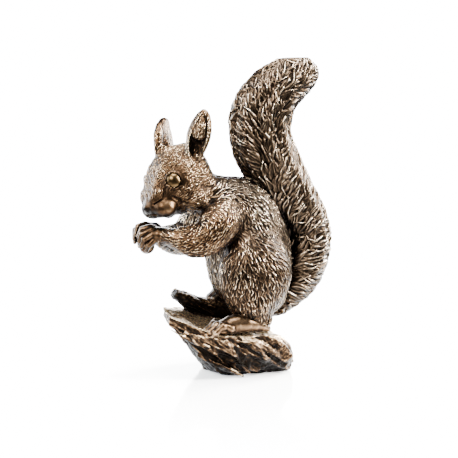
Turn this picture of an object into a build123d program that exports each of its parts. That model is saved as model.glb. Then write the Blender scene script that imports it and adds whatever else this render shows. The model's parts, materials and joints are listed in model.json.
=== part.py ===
"""A bronze squirrel that sits on a split log and holds a hazelnut, cast in sections and dowelled together.

The squirrel faces -X, its left side is -Y and +Z is up. The origin is the middle of the flat
underside that the log stands on. All lengths are in millimetres and all angles in degrees.
"""

import os
from math import cos, pi, sin

from build123d import *

# Log block, with a tongue that leans to the front and split ridges down its sides
LOG_LENGTH = 56.0
LOG_DEPTH = 34.0
LOG_HEIGHT = 18.5
LOG_TRIM = 0.6
RIDGE_WIDTH = 6.5
RIDGE_DEPTH = 6.0
SPLIT_WIDTH = 2.4
SPLIT_DEPTH = 4.0
KNOT_DIAMETER = 5.0

# Higher slab of the log, under the right foot
SLAB_WIDTH = 12.0
SLAB_THICKNESS = 8.0

# Torso, from the rump to the neck
TORSO_DEPTH = 35.0
TORSO_WIDTH = 31.0
TORSO_HEIGHT = 56.0

# Tail, a plume that rises behind the back and curls away at its tip
TAIL_SWEEP = 32.0
TAIL_HEIGHT = 104.0
TAIL_WIDTH = 20.0
TAIL_THICKNESS = 25.2
TAIL_LOCK_DEPTH = 1.6
TAIL_LOCKS = 10

# Haunches and hind feet: the right ones stand higher and further back
HAUNCH_DEPTH = 29.0
HAUNCH_THICKNESS = 17.0
HAUNCH_SPREAD = 12.0
HAUNCH_HEIGHT = 40.0
FOOT_LENGTH = 26.0
FOOT_WIDTH = 8.0
FOOT_HEIGHT = 7.0
FOOT_SPREAD = 13.0
TOE_LENGTH = 6.0
TOE_THICKNESS = 2.6
TOE_SPLAY = 2.4
SOLE_BED = 1.2
RIGHT_LEG_LIFT = 8.0
RIGHT_LEG_BACK = 9.0

# Arms, paws and the hazelnut between them
ARM_REACH = 26.0
ARM_SPREAD = 13.0
ARM_DROP = 10.0
ARM_THICKNESS = 15.5
RIGHT_ELBOW_DROP = 4.0
PAW_WIDTH = 8.0
PAW_THICKNESS = 5.0
FINGER_THICKNESS = 2.3
HAZELNUT_DIAMETER = 9.5
HAZELNUT_HEIGHT = 10.5

# Head, turned to its left, bent down to the paws and tilted to its right
HEAD_LENGTH = 33.0
HEAD_WIDTH = 24.5
HEAD_HEIGHT = 25.0
HEAD_TURN = 24.0
HEAD_BEND = 32.0
HEAD_TILT = 12.0
HEAD_REACH = 9.0
HEAD_RISE = 5.6
CHEEK_DIAMETER = 12.0
MUZZLE_DIAMETER = 6.8
CHIN_DIAMETER = 6.0
NOSE_DIAMETER = 3.6
EYE_DIAMETER = 7.0
EAR_LENGTH = 19.0
EAR_WIDTH = 9.5
EAR_THICKNESS = 7.0
EAR_WALL = 1.6

# Dowels that line the castings up before they are brazed
DOWEL_DIAMETER = 4.0
DOWEL_LENGTH = 14.0
PIN_DIAMETER = 2.5
PIN_LENGTH = 7.0
DOWEL_FIT = 0.1
DOWEL_CHAMFER = 0.3

LEFT = -1
RIGHT = 1
ACROSS = Vector(0, 1, 0)
UP = Vector(0, 0, 1)


def place(shares, sizes, start=(0, 0, 0)):
    """The point that lies shares of three sizes away from a start."""
    return Vector(*start) + Vector(*(share * size for share, size in zip(shares, sizes)))


def spine_through(points):
    """A smooth edge through points."""
    with BuildLine() as spine:
        Spline(*points)
    return spine.edge()


def square_to(spine, along, across):
    """The plane square to a spine at a share of its length, with its x axis across."""
    way = spine % along
    return Plane(spine @ along, x_dir=across - way * across.dot(way), z_dir=way)


def swell(spine, stations, wide, deep, across=ACROSS, mode=Mode.ADD):
    """Lofts the active part through ellipses, each at a share of the spine, of the width and of the depth."""
    sections = []
    for along, wide_share, deep_share in stations:
        with BuildSketch(square_to(spine, along, across)) as outline:
            Ellipse(wide * wide_share / 2, deep * deep_share / 2)
        sections.append(outline.sketch.face())
    loft(sections, mode=mode)


def cut_away(*neighbours):
    """Cuts neighbours out of the active part, so that it seats on their faces."""
    for neighbour in neighbours:
        add(neighbour, mode=Mode.SUBTRACT)


def build_pin(middle, way, diameter, length):
    """A round dowel with chamfered ends."""
    with BuildPart(Plane(middle, z_dir=way)) as pin:
        Cylinder(diameter / 2, length)
        chamfer(pin.edges().filter_by(GeomType.CIRCLE), DOWEL_CHAMFER)
    return pin.part


def build_drilling(middle, way, diameter, length):
    """The hole that a dowel goes into."""
    with BuildPart(Plane(middle, z_dir=way)) as drilling:
        Cylinder((diameter + DOWEL_FIT) / 2, length + DOWEL_FIT)
    return drilling.part


def build_group(parts):
    """Separate solids kept together as one piece of the assembly."""
    with BuildPart() as group:
        for part in parts:
            add(part)
    return group.part


# Spines that the castings follow
log_sizes = (LOG_LENGTH, LOG_DEPTH, LOG_HEIGHT)
SLAB_SPINE_SHARES = [(0.14, 0.31, 1.12), (-0.05, 0.33, 1.24), (-0.27, 0.35, 1.34), (-0.40, 0.36, 1.50),
                     (-0.49, 0.36, 1.68)]
slab_spine = spine_through([place(shares, log_sizes) for shares in SLAB_SPINE_SHARES])

SEAT_SHARES = (0.02, 0, 1)
seat = place(SEAT_SHARES, log_sizes)
torso_sizes = (TORSO_DEPTH, TORSO_WIDTH, TORSO_HEIGHT)
TORSO_SPINE_SHARES = [(0.10, 0, 0.06), (0.07, 0, 0.24), (0, 0, 0.49), (-0.09, 0, 0.74), (-0.27, 0, 0.87),
                      (-0.60, 0, 0.98)]
torso_spine = spine_through([place(shares, torso_sizes, seat) for shares in TORSO_SPINE_SHARES])
rump = torso_spine @ 0
neck = torso_spine @ 1

tail_sizes = (TAIL_SWEEP, TAIL_WIDTH, TAIL_HEIGHT)
TAIL_SPINE_SHARES = [(-0.02, 0, 0.05), (0.24, 0, 0.062), (0.45, 0, 0.105), (0.66, 0, 0.20), (0.71, 0, 0.31),
                     (0.47, 0, 0.46), (0.23, 0, 0.58), (0.06, 0, 0.69), (0.05, 0, 0.785), (0.23, 0, 0.88),
                     (0.54, 0, 0.94), (0.76, 0, 0.97)]
tail_spine = spine_through([place(shares, tail_sizes, rump) for shares in TAIL_SPINE_SHARES])

HAUNCH_SPINE_SHARES = [(-0.08, 1, 0.13), (-0.08, 1.10, 0.36), (-0.04, 1.10, 0.68), (0.04, 0.80, 1)]


def haunch_spine(side, back, lift):
    """The line of a thigh from the foot up to the flank, which the lift shortens."""
    sizes = (HAUNCH_DEPTH, side * HAUNCH_SPREAD, HAUNCH_HEIGHT)
    points = []
    for shares in HAUNCH_SPINE_SHARES:
        left_over_share = 1 - shares[2]
        points.append(place(shares, sizes, seat) + Vector(back, 0, lift) * left_over_share)
    return spine_through(points)


FOOT_SPINE_SHARES = [(0.14, 0.96, 0.30), (-0.20, 1, 0.40), (-0.46, 1.02, 0.5), (-0.66, 1.04, 0.36),
                     (-0.75, 1.06, 0.19)]


def foot_spine(side, back, lift):
    """The line of a foot from the heel to the toes."""
    sizes = (FOOT_LENGTH, side * FOOT_SPREAD, FOOT_HEIGHT)
    heel = seat + Vector(back, 0, lift - SOLE_BED)
    return spine_through([place(shares, sizes, heel) for shares in FOOT_SPINE_SHARES])


SHOULDER_SHARE = 0.786
ARM_SPINE_SHARES = [(-0.02, 0.62, 0.08), (-0.25, 1, -0.32), (-0.52, 1.09, -0.97), (-0.81, 0.88, -1.07),
                    (-1.11, 0.46, -0.99)]
ELBOW_DROP_SHARES = [0, 0.6, 1, 0.7, 0.05]


def arm_spine(side):
    """The line of an arm from inside the shoulder to the wrist."""
    sizes = (ARM_REACH, side * ARM_SPREAD, ARM_DROP)
    elbow_drop = RIGHT_ELBOW_DROP if side == RIGHT else 0
    points = []
    for shares, drop_share in zip(ARM_SPINE_SHARES, ELBOW_DROP_SHARES):
        points.append(place(shares, sizes, torso_spine @ SHOULDER_SHARE) - UP * (elbow_drop * drop_share))
    return spine_through(points)


# Dowels and the holes for them
TAIL_DOWEL_SHARE = 0.07
ARM_DOWEL_SHARE = 0.22
HAUNCH_DOWEL_SHARE = 0.55
FOOT_PIN_SHARE = 0.68
SLAB_PIN_SHARES = [0.25, 0.6]
HAUNCH_DOWEL_SINK_SHARE = 0.5
LEFT_LEG = (LEFT, 0, 0)
RIGHT_LEG = (RIGHT, RIGHT_LEG_BACK, RIGHT_LEG_LIFT)

neck_dowel_size = (neck, torso_spine % 1, DOWEL_DIAMETER, DOWEL_LENGTH)
tail_dowel_size = (tail_spine @ TAIL_DOWEL_SHARE, tail_spine % TAIL_DOWEL_SHARE, DOWEL_DIAMETER, DOWEL_LENGTH)
arm_dowel_sizes = []
for side in (LEFT, RIGHT):
    arm_dowel_sizes.append((arm_spine(side) @ ARM_DOWEL_SHARE, ACROSS, PIN_DIAMETER, PIN_LENGTH))
haunch_dowel_sizes = []
for leg in (LEFT_LEG, RIGHT_LEG):
    thigh = haunch_spine(*leg) @ HAUNCH_DOWEL_SHARE
    flank = Vector(thigh.X, leg[0] * TORSO_WIDTH * HAUNCH_DOWEL_SINK_SHARE, thigh.Z)
    haunch_dowel_sizes.append((flank, ACROSS, PIN_DIAMETER, PIN_LENGTH))
foot_pin_sizes = []
for leg in (LEFT_LEG, RIGHT_LEG):
    instep = foot_spine(*leg) @ FOOT_PIN_SHARE
    foot_pin_sizes.append((instep - UP * FOOT_HEIGHT / 2, UP, PIN_DIAMETER, PIN_LENGTH))
slab_pin_sizes = [
    (slab_spine @ share - UP * SLAB_THICKNESS / 2, UP, PIN_DIAMETER, PIN_LENGTH) for share in SLAB_PIN_SHARES
]

neck_dowel = build_pin(*neck_dowel_size)
tail_dowel = build_pin(*tail_dowel_size)
arm_dowels = build_group([build_pin(*size) for size in arm_dowel_sizes])
haunch_dowels = build_group([build_pin(*size) for size in haunch_dowel_sizes])
foot_pins = build_group([build_pin(*size) for size in foot_pin_sizes])
slab_pins = build_group([build_pin(*size) for size in slab_pin_sizes])

neck_hole = build_drilling(*neck_dowel_size)
tail_hole = build_drilling(*tail_dowel_size)
arm_holes = build_group([build_drilling(*size) for size in arm_dowel_sizes])
haunch_holes = build_group([build_drilling(*size) for size in haunch_dowel_sizes])
foot_holes = build_group([build_drilling(*size) for size in foot_pin_sizes])
slab_holes = build_group([build_drilling(*size) for size in slab_pin_sizes])

# Torso
TORSO_STATION_SHARES = [(0, 0.40, 0.36), (0.06, 0.68, 0.62), (0.18, 0.88, 0.84), (0.35, 1, 1),
                        (0.52, 0.98, 1), (0.68, 0.92, 0.97), (0.82, 0.78, 0.76), (0.93, 0.66, 0.54),
                        (1, 0.58, 0.48)]

with BuildPart() as torso:
    swell(torso_spine, TORSO_STATION_SHARES, TORSO_WIDTH, TORSO_DEPTH)
    cut_away(neck_hole, tail_hole, arm_holes, haunch_holes)

# Log block: outlines across the grain, from the left face to the right, and ridges and splits down both
LOG_PROFILE_PLACE_SHARES = [-0.50, -0.29, 0.12, 0.50]
LOG_PROFILE_SHARES = [
    [(-0.25, 0.49), (0.21, 0.32), (0.27, 0.43), (0.21, 0.70), (0.07, 0.92), (-0.16, 0.95),
     (-0.38, 0.96), (-0.48, 1.05), (-0.50, 0.92), (-0.45, 0.76), (-0.39, 0.65)],
    [(-0.23, 0), (0.28, 0), (0.315, 0.24), (0.25, 0.60), (0.11, 0.97), (-0.16, 0.98),
     (-0.39, 1.08), (-0.63, 1.38), (-0.64, 1.19), (-0.43, 0.54), (-0.33, 0.22)],
    [(-0.32, 0), (0.29, 0), (0.32, 0.32), (0.24, 0.70), (0.10, 1.05), (-0.16, 1.05),
     (-0.39, 1.19), (-0.61, 1.46), (-0.62, 1.27), (-0.46, 0.65), (-0.37, 0.27)],
    [(-0.21, 0.10), (0.21, 0.10), (0.27, 0.32), (0.21, 0.65), (0.07, 0.97), (-0.11, 1.08),
     (-0.29, 1.19), (-0.46, 1.30), (-0.48, 1.08), (-0.36, 0.59), (-0.27, 0.27)],
]
RIDGE_SPINE_SHARES = [
    [(-0.54, -0.34, 1.05), (-0.33, -0.40, 0.50), (-0.11, -0.33, 0.08)],
    [(-0.30, -0.46, 0.84), (-0.13, -0.47, 0.48), (0.02, -0.34, 0.08)],
    [(-0.14, -0.48, 0.86), (0.08, -0.47, 0.54), (0.25, -0.28, 0.10)],
    [(0.06, -0.40, 0.84), (0.21, -0.34, 0.58), (0.29, -0.22, 0.20)],
    [(-0.44, 0.42, 1.05), (-0.28, 0.46, 0.55), (-0.10, 0.38, 0.08)],
    [(-0.20, 0.50, 1.00), (-0.02, 0.50, 0.52), (0.12, 0.40, 0.08)],
    [(0.02, 0.48, 0.90), (0.16, 0.44, 0.56), (0.26, 0.30, 0.12)],
]
RIDGE_STATION_SHARES = [(0, 0.45, 0.45), (0.25, 0.95, 0.95), (0.6, 1, 1), (0.9, 0.7, 0.7), (1, 0.45, 0.45)]
SPLIT_SPINE_SHARES = [
    [(-0.31, -0.50, 0.56), (-0.20, -0.49, 0.30), (-0.11, -0.45, 0.06)],
    [(-0.14, -0.54, 0.68), (-0.05, -0.53, 0.42), (0.06, -0.45, 0.12)],
    [(0.02, -0.54, 0.70), (0.14, -0.46, 0.44), (0.24, -0.38, 0.18)],
    [(-0.24, 0.56, 0.78), (-0.12, 0.55, 0.45), (0, 0.48, 0.14)],
    [(0.00, 0.56, 0.74), (0.10, 0.52, 0.44), (0.20, 0.44, 0.14)],
]
SPLIT_STATION_SHARES = [(0, 0.4, 0.4), (0.3, 1, 1), (0.7, 0.9, 0.9), (1, 0.35, 0.35)]
KNOT_SHARES = (0.10, -0.47, 0.80)

with BuildPart() as log_block:
    for place_share, profile_shares in zip(LOG_PROFILE_PLACE_SHARES, LOG_PROFILE_SHARES):
        with BuildSketch(Plane.XZ.offset(-place_share * LOG_DEPTH)):
            corners = []
            for x_share, z_share in profile_shares:
                corners.append((x_share * LOG_LENGTH, z_share * (LOG_HEIGHT + LOG_TRIM) - LOG_TRIM))
            with BuildLine():
                Polyline(*corners, close=True)
            make_face()
    loft(ruled=True)
    for ridge_shares in RIDGE_SPINE_SHARES:
        ridge_spine = spine_through([place(shares, log_sizes) for shares in ridge_shares])
        swell(ridge_spine, RIDGE_STATION_SHARES, RIDGE_WIDTH, RIDGE_DEPTH)
    for split_shares in SPLIT_SPINE_SHARES:
        split_spine = spine_through([place(shares, log_sizes) for shares in split_shares])
        swell(split_spine, SPLIT_STATION_SHARES, SPLIT_DEPTH, SPLIT_WIDTH, mode=Mode.SUBTRACT)
    with Locations(place(KNOT_SHARES, log_sizes)):
        Sphere(KNOT_DIAMETER / 2)
    split(bisect_by=Plane.XY, keep=Keep.TOP)
    cut_away(foot_holes, slab_holes)

# Slab
SLAB_STATION_SHARES = [(0, 0.6, 0.7), (0.12, 0.9, 0.95), (0.4, 1, 1), (0.7, 0.95, 0.95), (0.9, 0.75, 0.75),
                       (1, 0.5, 0.5)]

with BuildPart() as log_slab:
    swell(slab_spine, SLAB_STATION_SHARES, SLAB_WIDTH, SLAB_THICKNESS)
    cut_away(log_block.part, torso.part, slab_holes, foot_holes)

# Tail
TAIL_STATION_SHARES = [(0, 0.5, 0.45), (0.06, 0.6, 0.52), (0.13, 0.72, 0.60), (0.23, 0.84, 0.68),
                       (0.33, 0.92, 0.70), (0.46, 1, 0.82), (0.58, 1, 0.95), (0.68, 1, 1), (0.76, 0.98, 1),
                       (0.85, 0.86, 0.87), (0.92, 0.68, 0.70), (0.97, 0.5, 0.5), (0.993, 0.28, 0.28),
                       (1, 0.12, 0.12)]
COMB_BACK_SHARE = 0.45
TUFT_SWELL_SHARE = 0.3


def lock_ring(wide, deep, lock_depth, comb, start):
    """Points round the tail, a crest for each lock and a groove after it, where every other crest swells."""
    points = []
    for step in range(2 * TAIL_LOCKS):
        turn = pi * step / TAIL_LOCKS
        turn += comb * sin(turn)
        groove_share = 1 if step % 2 else TUFT_SWELL_SHARE * ((step // 2 + start) % 2)
        sink = lock_depth * groove_share
        points.append(((wide / 2 - sink) * sin(turn), (deep / 2 - sink) * cos(turn)))
    return points


with BuildPart() as tail:
    for number, (along, wide_share, deep_share) in enumerate(TAIL_STATION_SHARES):
        wide = TAIL_WIDTH * wide_share
        deep = TAIL_THICKNESS * deep_share
        with BuildSketch(square_to(tail_spine, along, ACROSS)):
            with BuildLine():
                Spline(*lock_ring(wide, deep, TAIL_LOCK_DEPTH * wide_share, COMB_BACK_SHARE * along, number),
                       periodic=True)
            make_face()
    loft()
    cut_away(torso.part, tail_hole)

# Haunches
HAUNCH_STATION_SHARES = [(0, 0.50, 0.50), (0.15, 0.76, 0.72), (0.4, 1, 1), (0.65, 0.98, 0.98),
                         (0.88, 0.64, 0.68), (1, 0.3, 0.3)]


def build_haunch(leg):
    """A thigh that bulges from the side of the torso and ends over the foot."""
    with BuildPart() as haunch:
        swell(haunch_spine(*leg), HAUNCH_STATION_SHARES, HAUNCH_THICKNESS, HAUNCH_DEPTH)
        cut_away(torso.part, tail.part, log_block.part, log_slab.part, haunch_holes, foot_holes)
    return haunch.part


left_haunch = build_haunch(LEFT_LEG)
right_haunch = build_haunch(RIGHT_LEG)

# Hind feet
FOOT_STATION_SHARES = [(0, 0.55, 0.6), (0.2, 0.85, 0.9), (0.55, 0.95, 1), (0.8, 1, 0.8), (1, 0.85, 0.42)]
FOOT_BALL_SHARE = 0.88
TOE_PLACE_SHARES = [-0.39, -0.13, 0.13, 0.39]
TOE_SPINE_SHARES = [(0, 0, 0), (-0.5, 0.5, 0.25), (-1, 1, -0.5)]
TOE_STATION_SHARES = [(0, 0.9, 0.9), (0.4, 1, 1), (0.75, 0.95, 0.95), (0.93, 0.6, 0.6), (1, 0.25, 0.25)]


def build_foot(leg, haunch):
    """A long hind foot with four toes."""
    sole = foot_spine(*leg)
    with BuildPart() as foot:
        swell(sole, FOOT_STATION_SHARES, FOOT_WIDTH, FOOT_HEIGHT)
        for across_share in TOE_PLACE_SHARES:
            root = sole @ FOOT_BALL_SHARE + ACROSS * (across_share * FOOT_WIDTH)
            toe_sizes = (TOE_LENGTH, across_share * TOE_SPLAY, TOE_THICKNESS)
            toe_spine = spine_through([place(shares, toe_sizes, root) for shares in TOE_SPINE_SHARES])
            swell(toe_spine, TOE_STATION_SHARES, TOE_THICKNESS, TOE_THICKNESS)
        cut_away(haunch, torso.part, log_block.part, log_slab.part, foot_holes)
    return foot.part


left_foot = build_foot(LEFT_LEG, left_haunch)
right_foot = build_foot(RIGHT_LEG, right_haunch)

# Arms
ARM_STATION_SHARES = [(0, 0.45, 0.45), (0.12, 0.8, 0.8), (0.3, 1, 1), (0.52, 0.88, 0.9), (0.78, 0.64, 0.64),
                      (1, 0.5, 0.52)]


def build_arm(side, haunch):
    """A bent arm from the shoulder to the wrist."""
    with BuildPart() as arm:
        swell(arm_spine(side), ARM_STATION_SHARES, ARM_THICKNESS, ARM_THICKNESS)
        cut_away(torso.part, haunch, arm_holes)
    return arm.part


left_arm = build_arm(LEFT, left_haunch)
right_arm = build_arm(RIGHT, right_haunch)

# Hazelnut, on the middle line between the wrists
HAZELNUT_PLACE_SHARES = (-0.40, 0, -0.31)
HAZELNUT_STATION_SHARES = [(-0.5, 0.30), (-0.42, 0.62), (-0.2, 0.96), (0.05, 1), (0.3, 0.72), (0.45, 0.34),
                           (0.5, 0.10)]
wrist = arm_spine(LEFT) @ 1
hazelnut_sizes = (HAZELNUT_DIAMETER, HAZELNUT_DIAMETER, HAZELNUT_HEIGHT)
hazelnut_place = place(HAZELNUT_PLACE_SHARES, hazelnut_sizes, (wrist.X, 0, wrist.Z))

with BuildPart() as hazelnut:
    for rise_share, wide_share in HAZELNUT_STATION_SHARES:
        with BuildSketch(Plane(hazelnut_place).offset(rise_share * HAZELNUT_HEIGHT)):
            Circle(wide_share * HAZELNUT_DIAMETER / 2)
    loft()

# Paws: fingers one above another, curled round the front of the hazelnut
PALM_START_SHARE = 0.96
KNUCKLE_SHARES = (-0.25, 1.02, 0)
PAW_STATION_SHARES = [(0, 0.7, 0.9), (0.35, 0.95, 1), (0.7, 1, 0.9), (1, 0.85, 0.6)]
FINGER_PLACE_SHARES = [-0.36, -0.12, 0.12, 0.36]
FINGER_SPINE_SHARES = [(0.05, 1.12, 0), (-0.62, 0.90, 0), (-0.98, 0.36, -0.2)]
FINGER_STATION_SHARES = [(0, 0.9, 0.9), (0.4, 1, 1), (0.8, 0.85, 0.85), (1, 0.35, 0.35)]
grip = (HAZELNUT_DIAMETER + FINGER_THICKNESS) / 2


def build_paw(side, arm):
    """A paw that holds the hazelnut with four fingers."""
    grip_sizes = (grip, side * grip, grip)
    start = arm_spine(side) @ PALM_START_SHARE
    knuckle = place(KNUCKLE_SHARES, grip_sizes, (hazelnut_place.X, 0, start.Z))
    palm_spine = spine_through([start, Vector((start.X + knuckle.X) / 2, knuckle.Y, start.Z), knuckle])
    with BuildPart() as paw:
        swell(palm_spine, PAW_STATION_SHARES, PAW_WIDTH, PAW_THICKNESS, across=UP)
        for rise_share in FINGER_PLACE_SHARES:
            middle = Vector(hazelnut_place.X, 0, start.Z + rise_share * PAW_WIDTH)
            points = [place(shares, grip_sizes, middle) for shares in FINGER_SPINE_SHARES]
            swell(spine_through(points), FINGER_STATION_SHARES, FINGER_THICKNESS, FINGER_THICKNESS, across=UP)
        cut_away(arm, hazelnut.part)
    return paw.part


left_paw = build_paw(LEFT, left_arm)
right_paw = build_paw(RIGHT, right_arm)

# Head, in a plane with x to its left, y to its crown and z to its nose
HEAD_STATION_SHARES = [(-0.42, 0.40, 0.40, 0.04), (-0.32, 0.78, 0.76, 0.04), (-0.12, 1, 1, 0.02),
                       (0.08, 1, 0.98, 0), (0.25, 0.86, 0.80, -0.03), (0.38, 0.64, 0.60, -0.04),
                       (0.49, 0.46, 0.42, -0.05), (0.555, 0.30, 0.26, -0.05), (0.58, 0.14, 0.12, -0.04)]
CHEEK_SHARES = (0.27, -0.27, 0.06)
MUZZLE_SHARES = (0.11, -0.17, 0.38)
CHIN_SHARES = (0, -0.27, 0.34)
NOSE_SHARES = (0, 0, 0.55)
EYE_SHARES = (0.31, 0.13, 0.18)
facing = Vector(-1, 0, 0).rotate(Axis.Y, -HEAD_BEND).rotate(Axis.Z, HEAD_TURN)
level_left = Vector(0, -1, 0).rotate(Axis.Z, HEAD_TURN)
head_left = level_left.rotate(Axis((0, 0, 0), facing), HEAD_TILT)
head_plane = Plane(neck + Vector(-HEAD_REACH, 0, HEAD_RISE), x_dir=head_left, z_dir=facing)
head_sizes = (HEAD_WIDTH, HEAD_HEIGHT, HEAD_LENGTH)


def on_head(shares, side=LEFT):
    """A point of the head, given for its left side and mirrored for its right."""
    return head_plane.from_local_coords(place((-side * shares[0], shares[1], shares[2]), head_sizes))


def build_eye(side):
    """A smooth round eye that sits in its socket."""
    with BuildPart() as eye:
        with Locations(on_head(EYE_SHARES, side)):
            Sphere(EYE_DIAMETER / 2)
    return eye.part


left_eye = build_eye(LEFT)
right_eye = build_eye(RIGHT)

with BuildPart() as head:
    for along_share, wide_share, high_share, rise_share in HEAD_STATION_SHARES:
        with BuildSketch(head_plane.offset(along_share * HEAD_LENGTH)):
            with Locations((0, rise_share * HEAD_HEIGHT)):
                Ellipse(wide_share * HEAD_WIDTH / 2, high_share * HEAD_HEIGHT / 2)
    loft()
    for shares, diameter in ((CHIN_SHARES, CHIN_DIAMETER), (NOSE_SHARES, NOSE_DIAMETER)):
        with Locations(on_head(shares)):
            Sphere(diameter / 2)
    for side in (LEFT, RIGHT):
        for shares, diameter in ((CHEEK_SHARES, CHEEK_DIAMETER), (MUZZLE_SHARES, MUZZLE_DIAMETER)):
            with Locations(on_head(shares, side)):
                Sphere(diameter / 2)
    cut_away(torso.part, left_eye, right_eye, neck_hole)

# Ears
EAR_ROOT_SHARES = (0.38, 0.22, -0.20)
EAR_SPINE_SHARES = [(0, 0, 0), (0.11, 0.22, -0.18), (0.22, 0.46, -0.42), (0.28, 0.70, -0.68)]
EAR_STATION_SHARES = [(0, 0.70, 0.9), (0.3, 0.96, 1), (0.6, 1, 0.85), (0.85, 0.70, 0.6), (0.96, 0.4, 0.36),
                      (1, 0.16, 0.16)]


def build_ear(side):
    """An upright ear, hollowed like a scoop that opens forward and outward."""
    outward = head_left * -side
    opening = (facing + outward).normalized()
    across = (facing - outward).normalized()
    root = on_head(EAR_ROOT_SHARES, side)
    points = []
    for out_share, up_share, forward_share in EAR_SPINE_SHARES:
        lean = outward * out_share + head_plane.y_dir * up_share + facing * forward_share
        points.append(root + lean * EAR_LENGTH)
    hollow_points = [point + opening * (EAR_THICKNESS - EAR_WALL) / 2 for point in points]
    hollow_width = EAR_WIDTH - 2 * EAR_WALL
    with BuildPart() as ear:
        swell(spine_through(points), EAR_STATION_SHARES, EAR_WIDTH, EAR_THICKNESS, across=across)
        swell(spine_through(hollow_points), EAR_STATION_SHARES, hollow_width, EAR_THICKNESS - EAR_WALL,
              across=across, mode=Mode.SUBTRACT)
        cut_away(head.part)
    return ear.part


left_ear = build_ear(LEFT)
right_ear = build_ear(RIGHT)

pieces = {
    "log_block": log_block.part,
    "log_slab": log_slab.part,
    "torso": torso.part,
    "tail": tail.part,
    "left_haunch": left_haunch,
    "right_haunch": right_haunch,
    "left_foot": left_foot,
    "right_foot": right_foot,
    "left_arm": left_arm,
    "right_arm": right_arm,
    "left_paw": left_paw,
    "right_paw": right_paw,
    "hazelnut": hazelnut.part,
    "head": head.part,
    "left_eye": left_eye,
    "right_eye": right_eye,
    "left_ear": left_ear,
    "right_ear": right_ear,
    "neck_dowel": neck_dowel,
    "tail_dowel": tail_dowel,
    "arm_dowels": arm_dowels,
    "haunch_dowels": haunch_dowels,
    "foot_pins": foot_pins,
    "slab_pins": slab_pins,
}
os.makedirs("parts", exist_ok=True)
for name, piece in pieces.items():
    piece.label = name
    export_step(piece, f"parts/{name}.step")
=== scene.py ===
"""A squirrel figurine in patinated bronze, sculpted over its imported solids. Lengths are in millimetres."""
import json
import math
import bpy
import numpy as np
import openvdb as vdb
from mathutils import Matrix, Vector, noise
from mathutils.kdtree import KDTree

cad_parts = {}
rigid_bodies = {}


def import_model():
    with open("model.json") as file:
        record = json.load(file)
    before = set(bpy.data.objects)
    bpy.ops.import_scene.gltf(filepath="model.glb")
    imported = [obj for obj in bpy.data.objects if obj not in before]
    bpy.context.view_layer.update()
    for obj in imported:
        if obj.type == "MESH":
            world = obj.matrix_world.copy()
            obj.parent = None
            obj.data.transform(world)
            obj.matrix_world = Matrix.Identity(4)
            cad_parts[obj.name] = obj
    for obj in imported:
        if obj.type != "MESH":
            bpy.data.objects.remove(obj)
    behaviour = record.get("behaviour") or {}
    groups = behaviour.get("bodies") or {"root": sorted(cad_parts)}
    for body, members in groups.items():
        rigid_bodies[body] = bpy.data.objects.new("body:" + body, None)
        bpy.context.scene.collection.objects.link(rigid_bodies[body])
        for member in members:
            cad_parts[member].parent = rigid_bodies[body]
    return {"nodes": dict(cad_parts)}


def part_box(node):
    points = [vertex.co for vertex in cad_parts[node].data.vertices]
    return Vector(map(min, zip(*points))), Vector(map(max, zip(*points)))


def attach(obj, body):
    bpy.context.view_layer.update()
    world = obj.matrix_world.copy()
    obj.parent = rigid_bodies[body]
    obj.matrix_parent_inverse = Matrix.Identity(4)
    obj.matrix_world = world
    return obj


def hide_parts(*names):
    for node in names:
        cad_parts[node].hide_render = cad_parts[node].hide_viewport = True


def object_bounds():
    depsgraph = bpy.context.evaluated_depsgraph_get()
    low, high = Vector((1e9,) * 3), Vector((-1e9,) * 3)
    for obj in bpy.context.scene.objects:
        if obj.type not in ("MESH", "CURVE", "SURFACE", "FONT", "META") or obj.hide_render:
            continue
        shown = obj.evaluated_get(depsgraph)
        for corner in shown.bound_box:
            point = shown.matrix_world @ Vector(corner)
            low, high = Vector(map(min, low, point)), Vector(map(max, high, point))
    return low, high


for leftover in list(bpy.data.objects):
    bpy.data.objects.remove(leftover)
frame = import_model()
cad_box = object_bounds()

MM = 0.001
SEED = 20
CELL_SPAN = 4001
random = np.random.default_rng(SEED)

# Sculpting grids: the size of a cell, and how far from a surface distances are kept
BODY_CELL = 0.45
FINE_CELL = 0.25
BAND = 3.2
MARGIN = 5.0
REACH_SPARE = 1.0

# Rings of quads by which pieces of one grid run under those of another, and how deep the last ring dives
BODY_RINGS = 3
FINE_RINGS = 8
OVERLAP_DIVE = 0.5

# The head's own axes: x to its left, y to its crown, z to its nose
HEAD_CENTRE = np.array([-28.88, 0.0, 78.98])
HEAD_TURN = math.radians(24.0)
HEAD_BEND = math.radians(32.0)
HEAD_TILT = math.radians(12.0)
EYE_PLACE = (7.6, 3.25, 5.9)
EYE_AXIS = (0.86, 0.16, 0.48)
EYE_RADIUS = 3.5
LID_RADIUS = 0.5
LID_RING = 2.8
LID_RISE = 2.05
LID_TALL_SHARE = 1.16
LID_LIFT = 0.8
LID_STEPS = 49
LID_BLEND = 0.8
SOCKET_GAP = 0.3
SOCKET_BLEND = 0.1

# Where the fur of the head stops: along the muzzle, up its bridge, and round the eyes
MUZZLE_RANGE = (9.0, 14.5)
BRIDGE_RANGE = (1.0, 3.5)
BRIDGE_SHARE = 0.8
EYE_BARE_RANGE = (3.6, 6.0)

# How softly each node runs into the ones before it
BODY_BLENDS = {
    "torso": 0.0, "left_haunch": 3.5, "right_haunch": 3.5, "left_arm": 3.0, "right_arm": 3.0, "head": 3.0,
    "tail": 0.8,
}
HEAD_BLENDS = {
    "torso": 0.0, "left_arm": 3.0, "right_arm": 3.0, "head": 3.0, "left_ear": 1.2, "right_ear": 1.2,
}
PAW_BLENDS = {"left_arm": 0.0, "right_arm": 0.0}
FOOT_BLENDS = {"left_haunch": 0.0, "right_haunch": 0.0}
LOG_BLENDS = {"log_block": 0.0, "log_slab": 1.2}
STROKE_BLEND = 0.35
PAW_BLEND = 0.8
FOOT_BLEND = 0.5
ANKLE_BLEND = 2.5

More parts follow.
